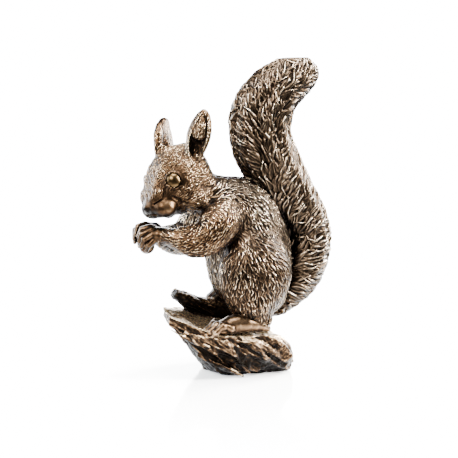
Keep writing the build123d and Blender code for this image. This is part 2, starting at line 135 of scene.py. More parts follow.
# The middle of the tail, from its root to its tip, as x and z
TAIL_SPINE = [(4, 27), (12.3, 28.3), (19, 32.8), (25.7, 42.7), (27.3, 54), (19.7, 69.7), (12, 82.2),
              (6.5, 93.7), (6.2, 103.5), (12, 113.4), (22, 119.7), (29, 122.8)]

# How far the parting lies from the middle low down, and how the tail is smoothed and swollen under its locks
PARTING_SHIFT = 10.0
TAIL_BLUR_ROUNDS = 16
TAIL_SWELL = 0.9
TAIL_STEPS = 240
TAIL_LINE_ROUNDS = 60

# Where along the tail its locks turn from outward to upward, and how they lean
TAIL_TURN_SHARES = (0.42, 0.68)
TAIL_LEAN_SHARES = (0.55, 0.5)
TAIL_SIDE_SHARE = 0.15
TAIL_OUT_REACH = 4.0
TAIL_OUT_SHARE = 0.15
TAIL_TOP_SHARE = 0.3

# Lines that the coat is combed along, given for the left side and mirrored for the right
BODY_COMBING = [
    [(-18, -4, 80), (-8, -6, 79), (2, -8, 74), (9, -10, 62), (14, -10, 46), (17, -9, 32)],
    [(-20, -11, 70), (-10, -14, 64), (-1, -15, 54), (6, -15, 42), (10, -14, 30)],
    [(-27, -6, 64), (-24, -9, 54), (-17, -11, 44), (-12, -11, 32), (-10, -10, 22)],
    [(-30, -1, 62), (-27, -1, 50), (-21, -1, 38), (-16, -1, 26)],
    [(-9, -20, 55), (-13, -20, 45), (-14, -19, 36), (-11, -17, 28)],
    [(-6, -21, 55), (-2, -22, 44), (1, -21, 33), (1, -19, 24)],
    [(-2, -19, 56), (7, -19, 48), (11, -17, 38), (11, -14, 27)],
    [(-9, -14, 70), (-13, -19, 62), (-20, -19, 55), (-30, -13, 53), (-38, -6, 55)],
]
HEAD_COMBING = [
    [(0, 4, 17), (0, 8, 12), (0, 12, 2), (0, 13, -6), (0, 10, -13)],
    [(3, 3, 15), (6, 8, 8), (8, 10, 0), (9, 8, -8)],
    [(4, -2, 14), (9, -1, 5), (12, 1, -2), (12, 1, -10)],
    [(4, -5, 13), (8, -8, 5), (11, -8, -3), (11, -8, -11)],
    [(1, -9, 12), (2, -11, 4), (3, -12, -5)],
    [(9.3, 5.5, -6.6), (11.4, 9.7, -10), (13.5, 14.2, -14.6), (14.6, 18.8, -19.5)],
]
COMBING_SHARES = (0.25, 0.75)
COMBING_SOFTNESS = 0.5
COMBING_FALL = -4
FLOW_BATCH = 4000

# Coats: how far apart the locks are, how long, wide and high each is, and its strands
BODY_COAT = (1.05, 5.2, 1.4, 0.75, 1)
ARM_COAT = (0.9, 3.4, 1.0, 0.5, 1)
EAR_COAT = (0.9, 3.0, 0.8, 0.2, 1)
COATS = {
    "head": (0.8, 2.9, 0.85, 0.46, 1), "torso": BODY_COAT, "left_haunch": BODY_COAT,
    "right_haunch": BODY_COAT,
    "left_arm": ARM_COAT, "right_arm": ARM_COAT, "tail": (1.7, 9.5, 2.9, 1.3, 2), "left_ear": EAR_COAT,
    "right_ear": EAR_COAT,
}
BARE_COAT = (0, 0, 0, 0.3, 0)
SINK_SHARE = 0.65
CAP_SHARE = 0.5
PUSH_SHARE = 0.3
SINK_CELL = 1.0
SINK_ROUNDS = 1

# How locks differ from each other: turn, curl and wave, and shares of length, width and height
LOCK_TURN = 0.1
LOCK_CURL = 0.22
LOCK_WAVE = 0.3
FULL_TURN = 6.28
LENGTH_SHARES = (0.7, 1.25)
WIDTH_SHARES = (0.8, 1.2)
HEIGHT_SHARES = (0.55, 1.1)

# A lock's form: its waves, how blunt its end and how round its back are, its rise and fall, and its strands
LOCK_WAVES = 5
LOCK_POINT = 0.55
LOCK_ROUNDNESS = 2.3
LOCK_RISE_SHARES = (0.3, 1.4)
LOCK_FALL = 3.5
LOCK_DEPTH_SHARE = 0.45
STRAND_SHARE = 0.28

# Nodes whose coats keep to themselves, and how coppery each node is against grey bronze
COAT_GROUPS = {"tail": 1, "left_foot": 2, "right_foot": 2, "left_paw": 2, "right_paw": 2}
WARM_SHARES = {
    "head": 0.7, "left_ear": 0.6, "right_ear": 0.9, "left_arm": 0.75, "right_arm": 0.4, "left_paw": 0.6,
    "right_paw": 0.1, "left_foot": 0.6, "right_foot": 0.1, "left_haunch": 0.4, "right_haunch": 0.3,
    "torso": 0.1,
    "tail": 0.25,
}
WARMTH_CELL = 3.0
WARMTH_ROUNDS = 2

# Patina: how far hollows and edges count, by the height of the coat, and painted shade: how dark undersides
# are painted
WEAR_MIDDLE = 0.47
WEAR_FINE = 0.48
WEAR_BROAD = 0.27
FINE_ROUNDS = 5
BROAD_ROUNDS = 28
OWN_SHARE = 0.3
WEAR_REACH = 0.03
WEAR_REACH_SHARE = 0.2
BROAD_TIMES = 4
UNDERSIDE_PAINTED_SHADE = 0.22
UNDERSIDE_SHADE_RANGE = (0.2, 0.8)
TONE_SHIFTS = {"left_foot": 0.12, "right_ear": -0.1, "left_arm": -0.08, "left_haunch": -0.06, "tail": 0.04}

# The left paw's strokes, from the middle of the hazelnut, as points and radii; the right paw mirrors them
PAW_STROKES = [
    ([(4.5, -7.6, 4.0), (2.0, -7.0, 4.6), (0.2, -5.6, 4.8)], [3.3, 2.9, 2.4]),
    ([(1.0, -4.4, 6.6), (-0.4, -4.2, 7.1), (-3.6, -3.4, 6.5), (-5.0, -2.4, 3.4)], [1.5, 1.35, 1.2, 0.8]),
    ([(1.0, -6.0, 6.0), (-0.6, -6.0, 6.4), (-4.2, -5.4, 4.8), (-5.0, -4.0, 1.6)], [1.6, 1.4, 1.25, 0.85]),
    ([(1.0, -7.0, 4.4), (-0.6, -7.2, 4.7), (-3.8, -6.8, 2.8), (-4.4, -5.2, -0.2)], [1.6, 1.4, 1.25, 0.85]),
    ([(1.2, -7.0, 2.6), (0.2, -7.4, 2.6), (-2.0, -7.2, 0.5), (-2.5, -5.4, -2.0)], [1.5, 1.35, 1.2, 0.8]),
]
NUT_STROKE = ([(-0.8, 0, -1.2), (-0.8, 0, 0.8), (-0.8, 0, 3.0)], [3.1, 3.6, 1.6])

# Smooth pieces: how softly their strokes join, and their even tone and warmth
BEAD_BLEND = 1.0
BEAD_TONE = 0.55
BEAD_WARMTH = 0.7

# The left foot's strokes; the right foot mirrors them, further back and higher
INSTEP_STROKE = (
    [(4.4, -13.6, 19.2), (1.5, -14.2, 20.5), (-1.5, -14.6, 21.4), (-5.0, -14.6, 22.0), (-8.0, -14.4, 22.1),
     (-11.0, -14.2, 21.6), (-14.0, -13.9, 20.6)], [1.6, 2.5, 3.2, 3.9, 4.1, 3.9, 3.3])
TOE_STROKE = (
    [(-14.0, 0, 20.8), (-16.0, 0, 21.8), (-17.6, 0, 21.8), (-19.2, 0, 20.7), (-20.4, 0, 19.6),
     (-22.0, 0, 17.9)], [1.7, 1.5, 1.9, 1.4, 1.55, 0.4])
TOE_PLACES = [(2.0, -17.4), (0.4, -15.0), (-0.1, -12.5), (1.0, -10.0)]
RIGHT_FOOT_SHIFT = (9.0, 0, 8.0)
ANKLE_STROKE = ([(0.0, -14.5, 30.0), (2.2, -14.0, 23.4)], [6.5, 3.8])

# Log: the way its grain runs, then hollows and ridges on its near face as points and radii
GRAIN = np.array([0.82, 0.15, -0.55])
ACROSS_GRAIN = np.cross(GRAIN, (0, 1, 0))
LOG_HOLLOWS = [
    ([(-10.5, -18.6, 13.4), (-6.3, -18.6, 7.8), (1.6, -16.8, 2.4)], [0.8, 2.4, 3.2]),
    ([(-27.5, -15.6, 14.5), (-21.8, -17.6, 10.4), (-13.3, -17.0, 4.2)], [0.8, 1.9, 1.9]),
    ([(0.5, -19.0, 11.6), (5.5, -18.0, 8.0), (11.5, -15.0, 3.2)], [0.4, 0.9, 0.9]),
]
LOG_RIDGES = [
    ([(-9.8, -18.6, 16.0), (-2.0, -18.8, 13.6), (2.3, -18.2, 7.9), (13.5, -13.0, 1.4)], [0.6, 1.0, 1.1, 0.9]),
    ([(-14.1, -18.4, 16.2), (-11.3, -18.6, 10.7), (-4.2, -16.6, 2.0)], [0.6, 1.0, 1.0]),
    ([(-35.2, -11.6, 20.6), (-28.8, -14.8, 16.7), (-21.2, -18.0, 13.9)], [0.6, 0.9, 0.7]),
    ([(-25.4, -15.0, 10.3), (-17.3, -16.8, 6.1), (-6.5, -15.6, 0.8)], [0.7, 1.0, 0.9]),
    ([(8.0, -18.0, 14.0), (8.4, -18.4, 13.4)], [1.6, 1.6]),
]
HOLLOW_BLEND = 0.7
RIDGE_BLEND = 0.8

# The log's bark: how long and high its ridges, lumps and specks are, and where it lies flat or ends
BARK_LENGTHS = (13, 5, 3.6)
LUMP_LENGTH = 5
SPECK_LENGTH = 1.1
BARK_HEIGHT = 0.9
BARK_SINK = 0.8
LUMP_HEIGHT = 0.45
LOG_SINK = 0.2
SPECK_HEIGHTS = (0.05, 0.12)
FLAT_RANGE = (0.45, 0.85)
END_RANGE = (2.0, 10.0)
END_SHARE = 0.7

# The log's patina and painted light: changes of tone for the whole, painted light on its upward flats,
# painted shade on its undersides, a change for the slab, painted shade in its hollows, and its warmth
LOG_TONE = 0.03
LOG_WEAR_REACHES = (0.18, 0.9)
FLAT_PAINTED_LIGHT = 0.32
LOG_UNDERSIDE_PAINTED_SHADE = 0.3
LOG_UNDERSIDE_SHADE_RANGE = (0.1, 0.7)
SLAB_TONE = 0.26
HOLLOW_PAINTED_SHADE = 0.4
HOLLOW_SHADE_RANGE = (-0.2, 0.5)
LOG_WARMTHS = (0.4, 0.4)
LOG_WARM_RANGE = (0.5, 0.8)

# The face's beads and grooves in the head's axes, each as points, radii and softness
FACE_BEADS = [
    ([(4.3, 9.4, 4.2), (3.5, 6.4, 9.6), (3.0, 3.0, 14.4)], [1.2, 1.3, 1.2], 2.0),
    ([(3.3, 2.2, 15.6), (4.6, 3.2, 13.2)], [1.7, 2.2], 0.8),
    ([(4.4, -2.8, 14.6), (4.8, -3.4, 13.8)], [4.0, 4.1], 0.9),
]
FACE_GROOVES = [
    ([(9.0, -0.2, 11.2), (9.4, -3.4, 9.6), (8.2, -6.8, 10.0), (5.6, -7.6, 13.4)], [0.4, 0.8, 0.8, 0.5], 0.4),
    ([(7.4, 1.0, 13.2), (5.6, 0.6, 15.6), (4.2, 0.8, 17.2)], [0.4, 0.5, 0.3], 0.4),
    ([(8.6, 5.0, 9.6), (7.6, 3.0, 12.0), (7.0, 1.2, 13.6)], [0.35, 0.7, 0.3], 0.6),
    ([(1.0, -0.6, 20.6), (2.4, 0.0, 19.2)], [0.7, 0.45], 0.4),
    ([(0, -2.6, 20.0), (3.6, -3.4, 17.6), (6.0, -5.6, 14.6), (7.0, -6.6, 12.0)], [0.4, 0.5, 0.6, 0.4], 0.4),
]

# Places on the head, on both sides, that are darker or brighter, each with its reach and its change of tone:
# a darker nose tip, painted shade under the muzzle, round the eyes and in the ear hollows, and a painted
# highlight on the muzzle pad
SHADE_AND_HIGHLIGHT_SPOTS = [
    ((0.8, -0.6, 21.0), 3.2, -0.3), ((6.0, -8.0, 12.5), 3.0, -0.3), ((9.4, 3.9, 7.4), 4.6, -0.22),
    ((8.0, -2.8, 14.2), 3.0, 0.14), ((10.4, 8.2, -8.4), 3.4, -0.2), ((11.6, 10.4, -10.6), 3.0, -0.2),
]
SPOT_CORE_SHARE = 0.5

# Ears: the near one's axis in the head's axes and what fills it, then the far one's front edge and cut tip
EAR_AXIS = [(9.9, 6.7, -7.6), (12.7, 12.5, -12.9), (13.5, 14.2, -14.6), (14.1, 16.8, -17.4),
            (14.5, 18.2, -18.9)]
EAR_FILL_RADII = [2.6, 3.3, 3.0, 2.0, 1.1]
EAR_FILL_BLEND = 0.9
FAR_EAR_EDGE = ([(-33.7, 10.2, 87.0), (-34.0, 10.8, 92.5), (-33.7, 12.2, 96.5), (-31.8, 15.6, 99.2),
                 (-29.4, 18.6, 100.4)], [1.3, 1.7, 1.7, 1.6, 1.3])
FAR_EAR_EDGE_BLEND = 2.2
FAR_EAR_TRIM = ([(-28.6, 21.0, 105.2), (-27.0, 22.0, 105.0)], [3.4, 3.4])
FAR_EAR_TRIM_BLEND = 1.0

# Bronze from its hollows and painted shade to its rubbed edges and painted light, grey and coppery, as places
# on the scale of tones and colours
GREY_TONES = [(0.32, (0.002, 0.0018, 0.0015)), (0.52, (0.013, 0.0098, 0.0068)), (0.7, (0.068, 0.052, 0.037)),
              (0.93, (0.52, 0.445, 0.34))]
WARM_TONES = [(0.32, (0.003, 0.0017, 0.001)), (0.52, (0.026, 0.0128, 0.0055)), (0.7, (0.122, 0.066, 0.029)),
              (0.93, (0.54, 0.39, 0.22))]
FUR_ROUGHNESS = (0.45, 0.22)
NUT_ROUGHNESS = (0.4, 0.25)
LOG_ROUGHNESS = (0.6, 0.35)
EYE_COLOR = (0.05, 0.031, 0.014)
EYE_ROUGHNESS = 0.28
BRASS_COLOR = (0.62, 0.46, 0.20)
BRASS_ROUGHNESS = 0.35

# Camera: where it stands, how wide it sees and how far it is moved right and up; what the lights face
VIEW_AZIMUTH = math.radians(-18.0)
VIEW_ELEVATION = math.radians(9.0)
VIEW_DISTANCE = 700.0
VIEW_ANGLE = math.radians(15.15)
VIEW_TARGET = (0, 0, 62.0)
VIEW_SHIFT_RIGHT = 6.91
VIEW_SHIFT_UP = 4.07
CLIP_START = 10.0
LIGHT_TARGET = (0, 0, 60)


class Grid:
    """A box of cells that distances are worked out on."""

    def __init__(self, low, high, cell):
        self.cell = cell
        self.start = np.floor((np.array(low) - MARGIN) / cell).astype(int)
        self.shape = np.ceil((np.array(high) + MARGIN) / cell).astype(int) - self.start

    def corner(self):
        return tuple(int(v) for v in self.start)

    def transform(self):
        return vdb.createLinearTransform(voxelSize=self.cell)

    def node_field(self, name):
        """Distance from a node's surface, negative inside."""
        points, triangles = node_triangles(name)
        volume = vdb.FloatGrid.createLevelSetFromPolygons(
            points, triangles=triangles, transform=self.transform(), halfWidth=BAND / self.cell)
        field = np.empty(self.shape, np.float32)
        volume.copyToArray(field, ijk=self.corner())
        return field

    def fuse(self, blends):
        """One smooth field through several nodes, and which of them is nearest at each cell."""
        fused = np.full(self.shape, BAND, np.float32)
        nearest = np.full(self.shape, BAND, np.float32)
        owner = np.full(self.shape, -1, np.int8)
        for name, blend in blends.items():
            field = self.node_field(name)
            if name == "tail":
                field = blurred(field, TAIL_BLUR_ROUNDS) - TAIL_SWELL
            fused = soft_union(fused, field, blend)
            closer = field < nearest
            nearest[closer] = field[closer]
            owner[closer] = NODES.index(name)
        return fused, owner

    def fuse_strokes(self, field, owner, strokes, number, blend):
        """Adds strokes to a field as a form of their own that belongs to a node."""
        form = np.full(self.shape, BAND, np.float32)
        for points, radii in strokes:
            self.stroke(form, points, radii, STROKE_BLEND)
        owner[form < field] = number
        return soft_union(field, form, blend)

    def window(self, points, reach):
        """The cells within reach of some points: their slices and their places."""
        low = np.floor((np.min(points, 0) - reach) / self.cell).astype(int) - self.start
        high = np.ceil((np.max(points, 0) + reach) / self.cell).astype(int) + 1 - self.start
        low, high = np.clip(low, 0, self.shape), np.clip(high, 0, self.shape)
        axes = [(np.arange(low[i], high[i]) + self.start[i]) * self.cell for i in range(3)]
        where = tuple(slice(low[i], high[i]) for i in range(3))
        return where, np.stack(np.meshgrid(*axes, indexing="ij"), -1)

    def stroke(self, field, points, radii, blend, cut=False):
        """Adds a tapering bead through some points to a field, or cuts it away as a groove."""
        points = np.array(points, float)
        where, cells = self.window(points, max(radii) + blend + REACH_SPARE)
        bead = np.full(cells.shape[:-1], BAND, np.float32)
        for i in range(len(points) - 1):
            bead = np.minimum(bead, capsule(cells, points[i], points[i + 1], radii[i], radii[i + 1]))
        if cut:
            field[where] = -soft_union(-field[where], bead, blend)
        else:
            field[where] = soft_union(field[where], bead, blend)

    def surface(self, field):
        """A smooth mesh over a field's surface: points, quads and normals."""
        volume = vdb.FloatGrid(BAND)
        volume.copyFromArray(field, ijk=self.corner())
        volume.transform = self.transform()
        points, quads = volume.convertToQuads(0.0)
        points, quads = points.astype(float), quads.astype(np.int64)
        if signed_volume(points, quads) < 0:
            quads = quads[:, ::-1]
        points, quads = split_quads(points, quads)
        return points, quads, point_normals(points, quads)

    def sample(self, values, points):
        """The value of the nearest cell at each point."""
        cells = np.clip(np.rint(points / self.cell).astype(int) - self.start, 0, self.shape - 1)
        return values[cells[:, 0], cells[:, 1], cells[:, 2]]


NODES = sorted(frame["nodes"])


def unit(vectors):
    """Vectors brought to length one along their last axis."""
    return vectors / np.maximum(np.linalg.norm(vectors, axis=-1, keepdims=True), 1e-9)


def node_box(*names):
    """The lowest and highest corners of some nodes together."""
    boxes = [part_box(name) for name in names]
    return np.min([box[0] for box in boxes], 0) / MM, np.max([box[1] for box in boxes], 0) / MM


def head_axes():
    """The ways to the head's left, its crown and its nose, as rows."""
    facing = np.array([-math.cos(HEAD_BEND) * math.cos(HEAD_TURN), -math.cos(HEAD_BEND) * math.sin(HEAD_TURN),
                       -math.sin(HEAD_BEND)])
    level = np.array([math.sin(HEAD_TURN), -math.cos(HEAD_TURN), 0.0])
    left = level * math.cos(HEAD_TILT) + np.cross(facing, level) * math.sin(HEAD_TILT)
    return np.stack([left, np.cross(facing, left), facing])


HEAD_AXES = head_axes()


def on_head(points, side=1):
    """Points given in the head's axes for its left side, or mirrored for its right, in the frame."""
    return HEAD_CENTRE + (np.array(points, float) * (side, 1, 1)) @ HEAD_AXES


def node_triangles(name):
    """A node's points in millimetres, and its triangles."""
    mesh = frame["nodes"][name].data
    points = np.empty(len(mesh.vertices) * 3, np.float32)
    mesh.vertices.foreach_get("co", points)
    mesh.calc_loop_triangles()
    corners = np.empty(len(mesh.loop_triangles) * 3, np.int32)
    mesh.loop_triangles.foreach_get("vertices", corners)
    return points.reshape(-1, 3) / np.float32(MM), corners.reshape(-1, 3).astype(np.uint32)


def soft_union(a, b, blend):
    """Two fields as one, with a soft seam."""
    if blend <= 0:
        return np.minimum(a, b)
    share = np.clip(0.5 + 0.5 * (b - a) / blend, 0, 1)
    return b + (a - b) * share - blend * share * (1 - share)


def blurred(field, rounds):
    """A field averaged along each of its axes, so that its small ridges go."""
    for _ in range(rounds):
        for axis in range(3):
            field = (np.roll(field, 1, axis) + 2 * field + np.roll(field, -1, axis)) / 4
    return field


def capsule(cells, start, end, start_radius, end_radius):
    """Distance of some places from a tapering rod with round ends."""
    along = end - start
    share = np.clip((cells - start) @ along / max(along @ along, 1e-9), 0, 1)
    gap = np.linalg.norm(cells - start - share[..., None] * along, axis=-1)
    return gap - (start_radius + (end_radius - start_radius) * share)


def quad_corners(points, quads):
    """The first, second, third and fourth corners of the quads."""
    return points[quads[:, 0]], points[quads[:, 1]], points[quads[:, 2]], points[quads[:, 3]]


def signed_volume(points, quads):
    """Six times the volume inside a mesh, negative where its quads face inward."""
    a, b, c, d = quad_corners(points, quads)
    return np.sum(np.cross(a, b) * c) + np.sum(np.cross(a, c) * d)


def gather(numbers, values, count):
    """Sums of rows of values by number."""
    return np.stack([np.bincount(numbers, values[:, axis], count) for axis in range(3)], 1)


def point_normals(points, quads):
    """The mean facing of the quads round each point."""
    a, b, c, d = quad_corners(points, quads)
    faces = np.cross(c - a, d - b)
    return unit(gather(quads.ravel(), np.repeat(faces, 4, 0), len(points)))


def quad_edges(quads, count):
    """The ends of each edge once, and the edge that follows each corner of each quad."""
    sides = np.sort(np.stack([quads, np.roll(quads, -1, 1)], -1).reshape(-1, 2), 1)
    keys, inverse = np.unique(sides[:, 0] * count + sides[:, 1], return_inverse=True)
    return np.stack([keys // count, keys % count], 1), inverse.reshape(-1, 4)


def split_quads(points, quads):
    """The same surface with each quad split in four and smoothed."""
    count = len(points)
    edges, following = quad_edges(quads, count)
    middles = points[quads].mean(1)
    edge_sums = gather(following.ravel(), np.repeat(middles, 4, 0), len(edges))
    edge_uses = np.bincount(following.ravel(), minlength=len(edges))[:, None]
    edge_points = (points[edges].sum(1) + edge_sums) / (2 + edge_uses)
    uses = np.bincount(quads.ravel(), minlength=count)[:, None]
    face_mean = gather(quads.ravel(), np.repeat(middles, 4, 0), count) / uses
    halves = points[edges].mean(1)
    ends = np.bincount(edges.ravel(), minlength=count)[:, None]
    edge_mean = gather(edges.ravel(), np.repeat(halves, 2, 0), count) / ends
    corners = (face_mean + 2 * edge_mean + (uses - 3) * points) / uses
    edge_numbers = following + count
    face_numbers = np.arange(len(quads)) + count + len(edges)
    finer = [np.stack([quads[:, i], edge_numbers[:, i], face_numbers, edge_numbers[:, i - 1]], 1)
             for i in range(4)]
    return np.concatenate([corners, edge_points, middles]), np.concatenate(finer)


def combing_samples():
    """Points with the direction of the coat at each, on both sides."""
    lines = [np.array(line, float) for line in BODY_COMBING]
    lines += [line * (1, -1, 1) for line in lines]
    for line in HEAD_COMBING:
        lines += [on_head(line), on_head(line, -1)]
    places, ways = [], []
    for line in lines:
        for start, end in zip(line[:-1], line[1:]):
            for share in COMBING_SHARES:
                places.append(start + (end - start) * share)
                ways.append(end - start)
    return np.array(places), unit(np.array(ways))


def body_flow(points):
    """The direction of the coat at each point, from the nearest combing lines."""
    places, ways = combing_samples()
    flow = np.zeros_like(points)
    for begin in range(0, len(points), FLOW_BATCH):
        some = slice(begin, begin + FLOW_BATCH)
        gap = np.linalg.norm(points[some, None] - places[None], axis=-1)
        flow[some] = (gap + COMBING_SOFTNESS) ** COMBING_FALL @ ways
    return unit(flow)


def tail_line():
    """Points close together along the middle of the tail, and its direction at each."""
    knots = np.array([(x, 0, z) for x, z in TAIL_SPINE], float)
    steps = np.linspace(0, len(knots) - 1, TAIL_STEPS)
    line = np.stack([np.interp(steps, np.arange(len(knots)), knots[:, i]) for i in range(3)], 1)
    for _ in range(TAIL_LINE_ROUNDS):
        line[1:-1] = (line[:-2] + 2 * line[1:-1] + line[2:]) / 4
    return line, unit(np.gradient(line, axis=0))


def tail_flow(points):
    """Up the tail and out from its parting, which lies near the back low down."""
    line, ways = tail_line()
    tree = KDTree(len(line))
    for i, point in enumerate(line):
        tree.insert(point, i)
    tree.balance()
    near = np.array([tree.find(point)[1] for point in points])
    along = ways[near]
    height = smooth_step(*TAIL_TURN_SHARES, near / len(line))[:, None]
    rear = unit(np.cross((0, 1, 0), along))
    out = points - line[near] + rear * PARTING_SHIFT * (1 - height)
    out[:, 1] *= TAIL_SIDE_SHARE
    out -= np.sum(out * along, 1, keepdims=True) * along
    reach = np.linalg.norm(out, axis=1, keepdims=True)
    lean = TAIL_LEAN_SHARES[0] + TAIL_LEAN_SHARES[1] * height
    spread = np.clip(reach / TAIL_OUT_REACH, TAIL_OUT_SHARE, 1)
    return unit(along * lean + unit(out) * spread * (1 - TAIL_TOP_SHARE * height))


def spread_seeds(points, spacing):
    """Indices of points chosen at random about one spacing apart."""
    order = random.permutation(len(points))
    cells = np.floor(points[order] / spacing).astype(np.int64)
    keys = (cells[:, 0] * CELL_SPAN + cells[:, 1]) * CELL_SPAN + cells[:, 2]
    first = np.unique(keys, return_index=True)[1]
    return order[np.sort(first)]


class Coat:
    """Locks of hair raised on a cloud of surface points."""

    CELL = 3.0
    SPAN = 1009

    def __init__(self, points, normals, groups):
        self.points = points
        self.normals = normals
        self.groups = groups
        self.relief = np.zeros(len(points))
        self.push = np.zeros_like(points)
        cells = np.floor(points / self.CELL).astype(np.int64)
        keys = (cells[:, 0] * self.SPAN + cells[:, 1]) * self.SPAN + cells[:, 2]
        self.order = np.argsort(keys, kind="stable")
        self.keys = keys[self.order]

    def near(self, middle, reach):
        """The points in the cells within reach of a place."""
        low = np.floor((middle - reach) / self.CELL).astype(int)
        high = np.floor((middle + reach) / self.CELL).astype(int)
        rows = np.arange(low[0], high[0] + 1)[:, None] * self.SPAN
        columns = (rows + np.arange(low[1], high[1] + 1)).ravel()
        begins = np.searchsorted(self.keys, columns * self.SPAN + low[2])
        ends = np.searchsorted(self.keys, columns * self.SPAN + high[2] + 1)
        return np.concatenate([self.order[begin:end] for begin, end in zip(begins, ends)])

    def lock(self, at, way, length, width, height, strands):
        """One lock: a wavy ridge of a few strands that swells from its root and runs out in a point."""
        root, up = self.points[at], self.normals[at]
        way = way - up * (way @ up)
        way = way / max(np.linalg.norm(way), 1e-6)
        side = np.cross(up, way)
        way = way + side * random.normal(0, LOCK_TURN)
        curl = random.normal(0, LOCK_CURL)
        wave = random.normal(0, LOCK_WAVE)
        phase = random.uniform(0, FULL_TURN)
        near = self.near(root + way * length * 0.5, length * 0.6)
        gap = self.points[near] - root
        u = gap @ way / length
        keep = (u > 0) & (u < 1) & (np.abs(gap @ up) < length * LOCK_DEPTH_SHARE)
        keep &= self.groups[near] == self.groups[at]
        near, gap, u = near[keep], gap[keep], u[keep]
        bend = curl * length * 0.5 * u * u + wave * width * np.sin(u * LOCK_WAVES + phase)
        v = (gap @ side - bend) / (width * 0.5)
        shape = np.minimum(1, 2.0 * np.sqrt(u)) * (1 - u) ** LOCK_POINT
        across = np.clip(1 - np.abs(v / np.maximum(shape, 0.05)) ** LOCK_ROUNDNESS, 0, 1)
        rise = np.minimum(1, LOCK_RISE_SHARES[0] + u * LOCK_RISE_SHARES[1])
        rise = rise * np.minimum(1, (1 - u) * LOCK_FALL)
        strand = 1 - STRAND_SHARE * (0.5 - 0.5 * np.cos(v * math.pi * strands + phase))
        level = across * rise * strand * height
        higher = level > self.relief[near]
        self.relief[near[higher]] = level[higher]
        self.push[near[higher]] = way

    def grow(self, members, flow_of, spacing, length, width, height, strands, keep_share=None):
        """Locks all over some of the points."""
        seeds = members[spread_seeds(self.points[members], spacing)]
        share = np.ones(len(seeds)) if keep_share is None else keep_share(self.points[seeds])
        lengths = length * random.uniform(*LENGTH_SHARES, len(seeds))
        widths = width * random.uniform(*WIDTH_SHARES, len(seeds))
        heights = height * random.uniform(*HEIGHT_SHARES, len(seeds)) * share
        for lock in zip(seeds, flow_of(self.points[seeds]), lengths, widths, heights):
            self.lock(*lock, strands)


def smoothed(values, edges, count, rounds):
    """Values at points, averaged with their neighbours again and again."""
    uses = np.maximum(np.bincount(edges.ravel(), minlength=count), 1)[:, None]
    for _ in range(rounds):
        total = gather(edges[:, 0], values[edges[:, 1]], count)
        total = total + gather(edges[:, 1], values[edges[:, 0]], count)
        values = OWN_SHARE * values + (1 - OWN_SHARE) * total / uses
    return values


def wear_tone(points, normals, quads, fine_reach, broad_reach):
    """How rubbed each point is, from 0 in the hollows to 1 on the edges."""
    edges = quad_edges(quads, len(points))[0]
    near = smoothed(points, edges, len(points), FINE_ROUNDS)
    far = smoothed(near, edges, len(points), BROAD_ROUNDS)
    fine = np.sum((points - near) * normals, 1) / fine_reach
    broad = np.sum((points - far) * normals, 1) / broad_reach
    return WEAR_MIDDLE + WEAR_FINE * np.clip(fine, -1, 1) + WEAR_BROAD * np.clip(broad, -1, 1)


def even_out(values, points, cell, rounds):
    """Values blurred over space, so that surfaces that meet agree."""
    low = points.min(0) - 2 * cell
    places = (points - low) / cell
    shape = np.ceil(places.max(0)).astype(int) + 3
    cells = np.rint(places).astype(int)
    numbers = np.ravel_multi_index(cells.T, shape)
    total = np.bincount(numbers, values, shape.prod()).reshape(shape)
    weight = np.bincount(numbers, minlength=shape.prod()).reshape(shape).astype(float)
    for _ in range(rounds):
        for axis in range(3):
            total = total + np.roll(total, 1, axis) + np.roll(total, -1, axis)
            weight = weight + np.roll(weight, 1, axis) + np.roll(weight, -1, axis)
    mean = total / np.maximum(weight, 1e-9)
    base = np.floor(places).astype(int)
    share = places - base
    out = np.zeros(len(points))
    for corner in range(8):
        step = np.array([corner & 1, corner >> 1 & 1, corner >> 2 & 1])
        at = base + step
        part = np.prod(np.where(step, share, 1 - share), 1)
        out += part * mean[at[:, 0], at[:, 1], at[:, 2]]
    return out


def smooth_step(low, high, values):
    """From 0 at the low value to 1 at the high one, with soft ends."""
    share = np.clip((values - low) / (high - low), 0, 1)
    return share * share * (3 - 2 * share)


def fur_share_of_head(points):
    """Full fur on the skull and cheeks, none on the muzzle and round the eyes."""
    local = (points - HEAD_CENTRE) @ HEAD_AXES.T
    bridge = BRIDGE_SHARE * smooth_step(*BRIDGE_RANGE, local[:, 1])
    share = 1 - smooth_step(*MUZZLE_RANGE, local[:, 2]) * (1 - bridge)
    for side in (1, -1):
        gap = np.linalg.norm(local - np.array(EYE_PLACE) * (side, 1, 1), axis=1)
        share = share * smooth_step(*EYE_BARE_RANGE, gap)
    return share


def eye_axes():
    """The middle of the left eye, and the ways out of it, along it and over it, in the head's axes."""
    axis = unit(np.array(EYE_AXIS))
    across = unit(np.cross(axis, (0, 1, 0)))
    return np.array(EYE_PLACE), axis, across, np.cross(across, axis)


def sculpt_face(grid, field):
    """Eyelids, tear lines, muzzle, nose and mouth on both sides of the head."""
    eye, axis, across, over = eye_axes()
    turns = np.linspace(0, 2 * math.pi, LID_STEPS)[:, None]
    ring = (across * np.cos(turns) + over * np.sin(turns) * LID_TALL_SHARE) * LID_RING
    for side in (1, -1):
        lid = on_head(eye + axis * LID_RISE + over * LID_LIFT + ring, side)
        grid.stroke(field, lid, [LID_RADIUS] * len(ring), LID_BLEND)
        socket = on_head([eye, eye + over * LID_LIFT], side)
        grid.stroke(field, socket, [EYE_RADIUS + SOCKET_GAP] * 2, SOCKET_BLEND, cut=True)
        for points, radii, blend in FACE_BEADS:
            grid.stroke(field, on_head(points, side), radii, blend)
        for points, radii, blend in FACE_GROOVES:
            grid.stroke(field, on_head(points, side), radii, blend, cut=True)


def sculpt_ears(grid, field):
    """A filled tip on the near ear, and a smooth far one with a wider front edge."""
    grid.stroke(field, on_head(EAR_AXIS[1:]), EAR_FILL_RADII[1:], EAR_FILL_BLEND)
    grid.stroke(field, on_head(EAR_AXIS, -1), EAR_FILL_RADII, EAR_FILL_BLEND)
    grid.stroke(field, *FAR_EAR_EDGE, FAR_EAR_EDGE_BLEND)
    grid.stroke(field, *FAR_EAR_TRIM, FAR_EAR_TRIM_BLEND, cut=True)


